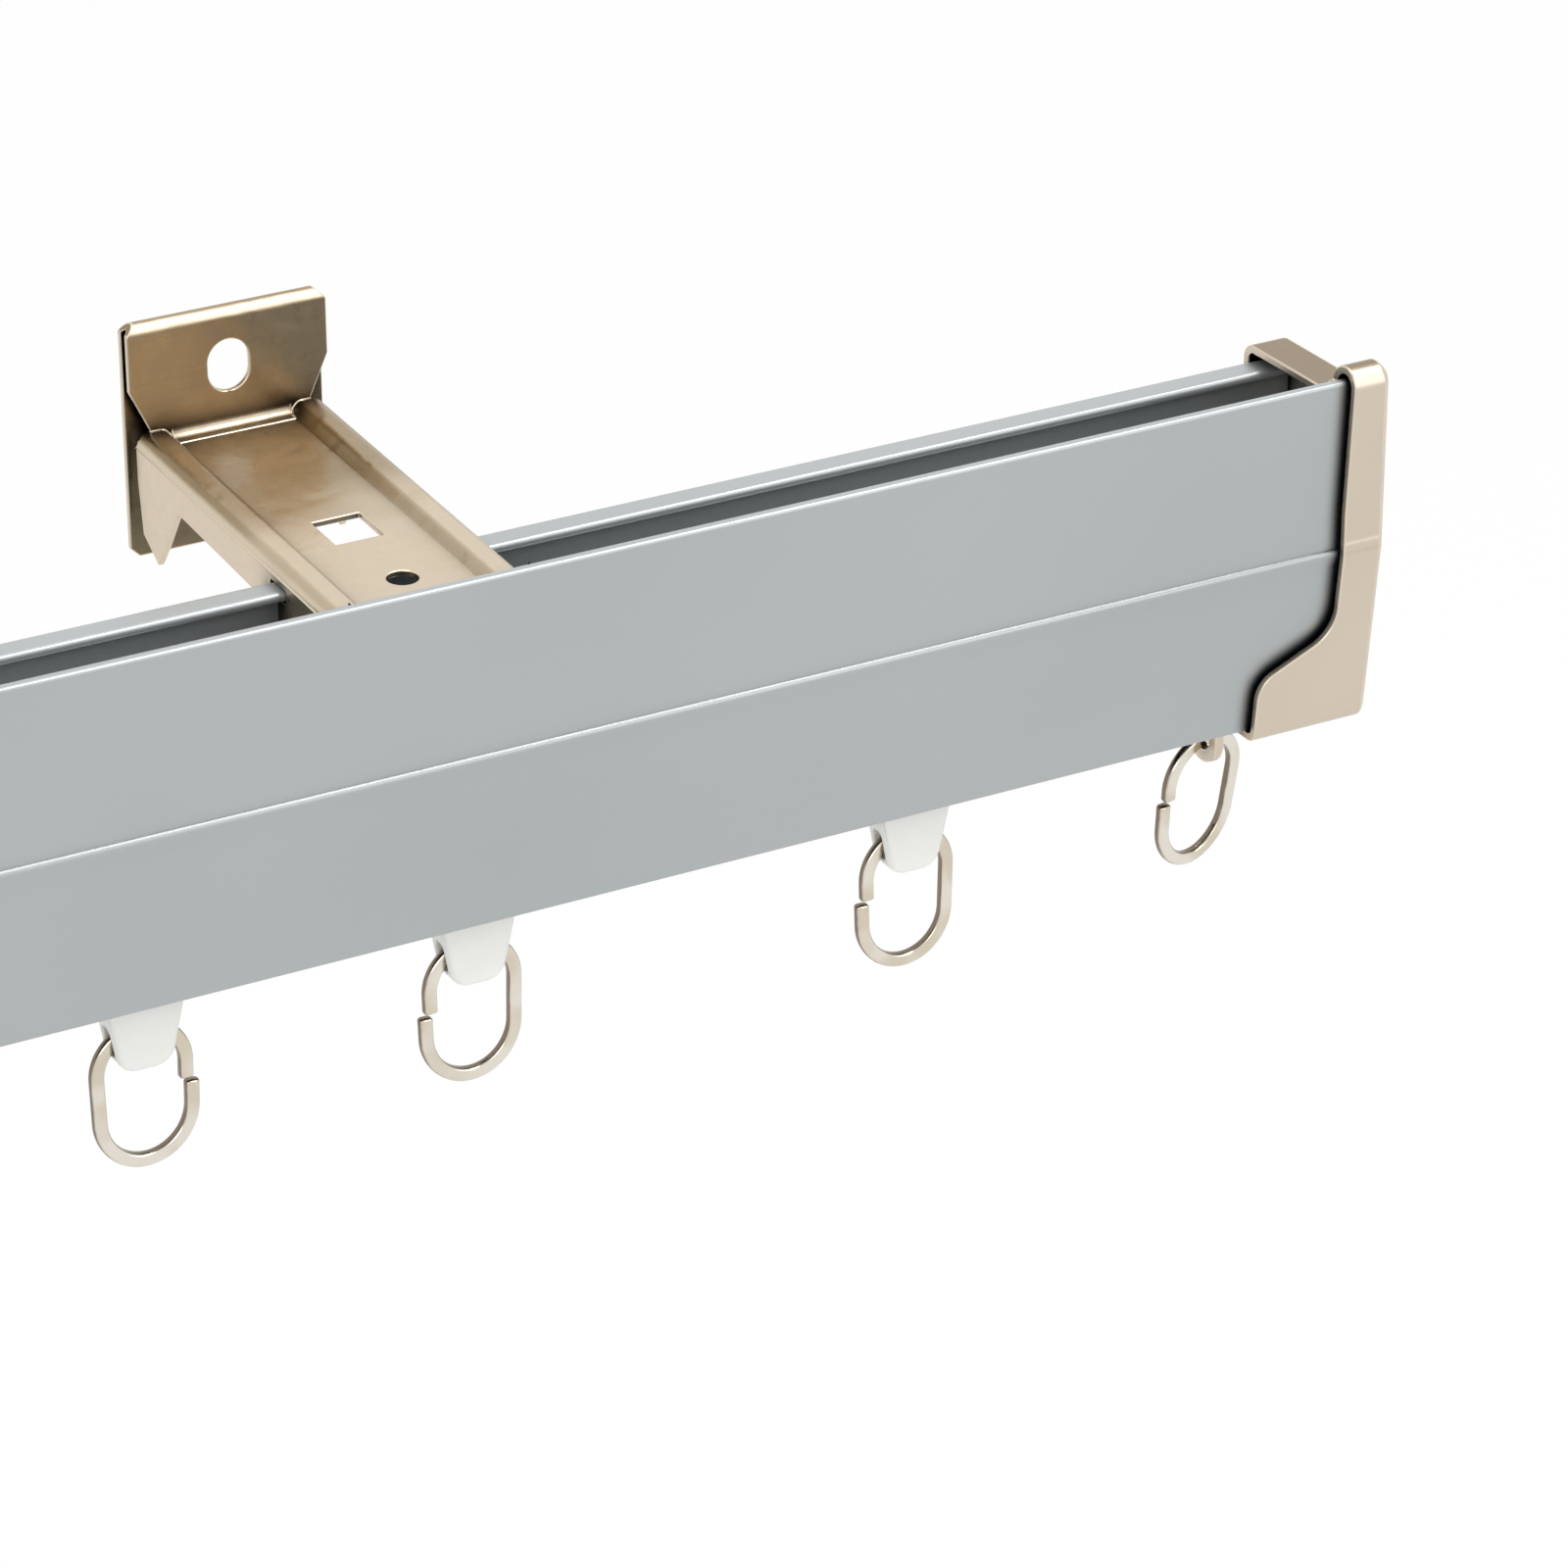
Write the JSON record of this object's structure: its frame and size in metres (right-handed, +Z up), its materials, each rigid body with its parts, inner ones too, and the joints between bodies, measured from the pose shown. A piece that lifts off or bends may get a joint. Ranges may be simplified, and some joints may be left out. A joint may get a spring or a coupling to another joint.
{
  "type": "curtain track",
  "caption": "Short length of wall-fixed curtain track with a high fascia, folded brackets, end caps with a fixed ring each, and sliding gliders with split rings.",
  "frame": {"origin": "on the wall's face, midway between the two wall plates' screw holes and at the height of their centres", "axes": "+X along the track, to the right for someone who faces the fascia; +Y into the wall; +Z up"},
  "size_m": [0.4, 0.0483, 0.0638],
  "materials": {
    "rail_paint": "satin grey-blue powder coat on an aluminium extrusion",
    "bracket_plate": "satin nickel-plated sheet steel",
    "cap_nickel": "satin nickel, finely brushed",
    "glider_plastic": "white moulded acetal, smooth and slightly waxy",
    "ring_chrome": "bright nickel-plated wire"
  },
  "bodies": {
    "track": {"rail": "rail_paint", "bracket_left": "bracket_plate", "bracket_right": "bracket_plate", "end_cap_left": "cap_nickel", "end_cap_right": "cap_nickel"},
    "glider_1": {"glider_1": "glider_plastic"},
    "glider_2": {"glider_2": "glider_plastic"},
    "glider_3": {"glider_3": "glider_plastic"},
    "glider_4": {"glider_4": "glider_plastic"},
    "glider_5": {"glider_5": "glider_plastic"},
    "glider_6": {"glider_6": "glider_plastic"},
    "glider_7": {"glider_7": "glider_plastic"},
    "ring_1": {"ring_1": "ring_chrome"},
    "ring_2": {"ring_2": "ring_chrome"},
    "ring_3": {"ring_3": "ring_chrome"},
    "ring_4": {"ring_4": "ring_chrome"},
    "ring_5": {"ring_5": "ring_chrome"},
    "ring_6": {"ring_6": "ring_chrome"},
    "ring_7": {"ring_7": "ring_chrome"},
    "end_ring_left": {"end_ring_left": "ring_chrome"},
    "end_ring_right": {"end_ring_right": "ring_chrome"}
  },
  "joints": [
    {"name": "glider_1_slide", "type": "slide", "parent": "track", "child": "glider_1", "axis": [1, 0, 0], "range_m": [-0.0336, 0.0186]},
    {"name": "glider_2_slide", "type": "slide", "parent": "track", "child": "glider_2", "axis": [1, 0, 0], "range_m": [-0.0208, 0.0336]},
    {"name": "glider_3_slide", "type": "slide", "parent": "track", "child": "glider_3", "axis": [1, 0, 0], "range_m": [-0.04022, 0.0208]},
    {"name": "glider_4_slide", "type": "slide", "parent": "track", "child": "glider_4", "axis": [1, 0, 0], "range_m": [-0.04022, 0.04022]},
    {"name": "glider_5_slide", "type": "slide", "parent": "track", "child": "glider_5", "axis": [1, 0, 0], "range_m": [-0.04022, 0.04022]},
    {"name": "glider_6_slide", "type": "slide", "parent": "track", "child": "glider_6", "axis": [1, 0, 0], "range_m": [-0.04022, 0.04022]},
    {"name": "glider_7_slide", "type": "slide", "parent": "track", "child": "glider_7", "axis": [1, 0, 0], "range_m": [-0.03772, 0.04022]},
    {"name": "ring_1_turn", "type": "hinge", "parent": "glider_1", "child": "ring_1", "pos_m": [0.1532, -0.03925, -0.0484], "axis": [0, 1, 0], "range_deg": [-40, 40]},
    {"name": "ring_2_turn", "type": "hinge", "parent": "glider_2", "child": "ring_2", "pos_m": [0.1076, -0.03925, -0.0484], "axis": [0, 1, 0], "range_deg": [-40, 40]},
    {"name": "ring_3_turn", "type": "hinge", "parent": "glider_3", "child": "ring_3", "pos_m": [0.0748, -0.03925, -0.0484], "axis": [0, 1, 0], "range_deg": [-40, 40]},
    {"name": "ring_4_turn", "type": "hinge", "parent": "glider_4", "child": "ring_4", "pos_m": [0.02258, -0.03925, -0.0484], "axis": [0, 1, 0], "range_deg": [-40, 40]},
    {"name": "ring_5_turn", "type": "hinge", "parent": "glider_5", "child": "ring_5", "pos_m": [-0.02964, -0.03925, -0.0484], "axis": [0, 1, 0], "range_deg": [-40, 40]},
    {"name": "ring_6_turn", "type": "hinge", "parent": "glider_6", "child": "ring_6", "pos_m": [-0.08186, -0.03925, -0.0484], "axis": [0, 1, 0], "range_deg": [-40, 40]},
    {"name": "ring_7_turn", "type": "hinge", "parent": "glider_7", "child": "ring_7", "pos_m": [-0.13408, -0.03925, -0.0484], "axis": [0, 1, 0], "range_deg": [-40, 40]},
    {"name": "end_ring_right_turn", "type": "hinge", "parent": "track", "child": "end_ring_right", "pos_m": [0.18618, -0.03874, -0.0465], "axis": [-0.2233, 0.9671, 0.1219], "range_deg": [-40, 40]},
    {"name": "end_ring_left_turn", "type": "hinge", "parent": "track", "child": "end_ring_left", "pos_m": [-0.18618, -0.03874, -0.0465], "axis": [0.2233, 0.9671, 0.1219], "range_deg": [-40, 40]}
  ]
}
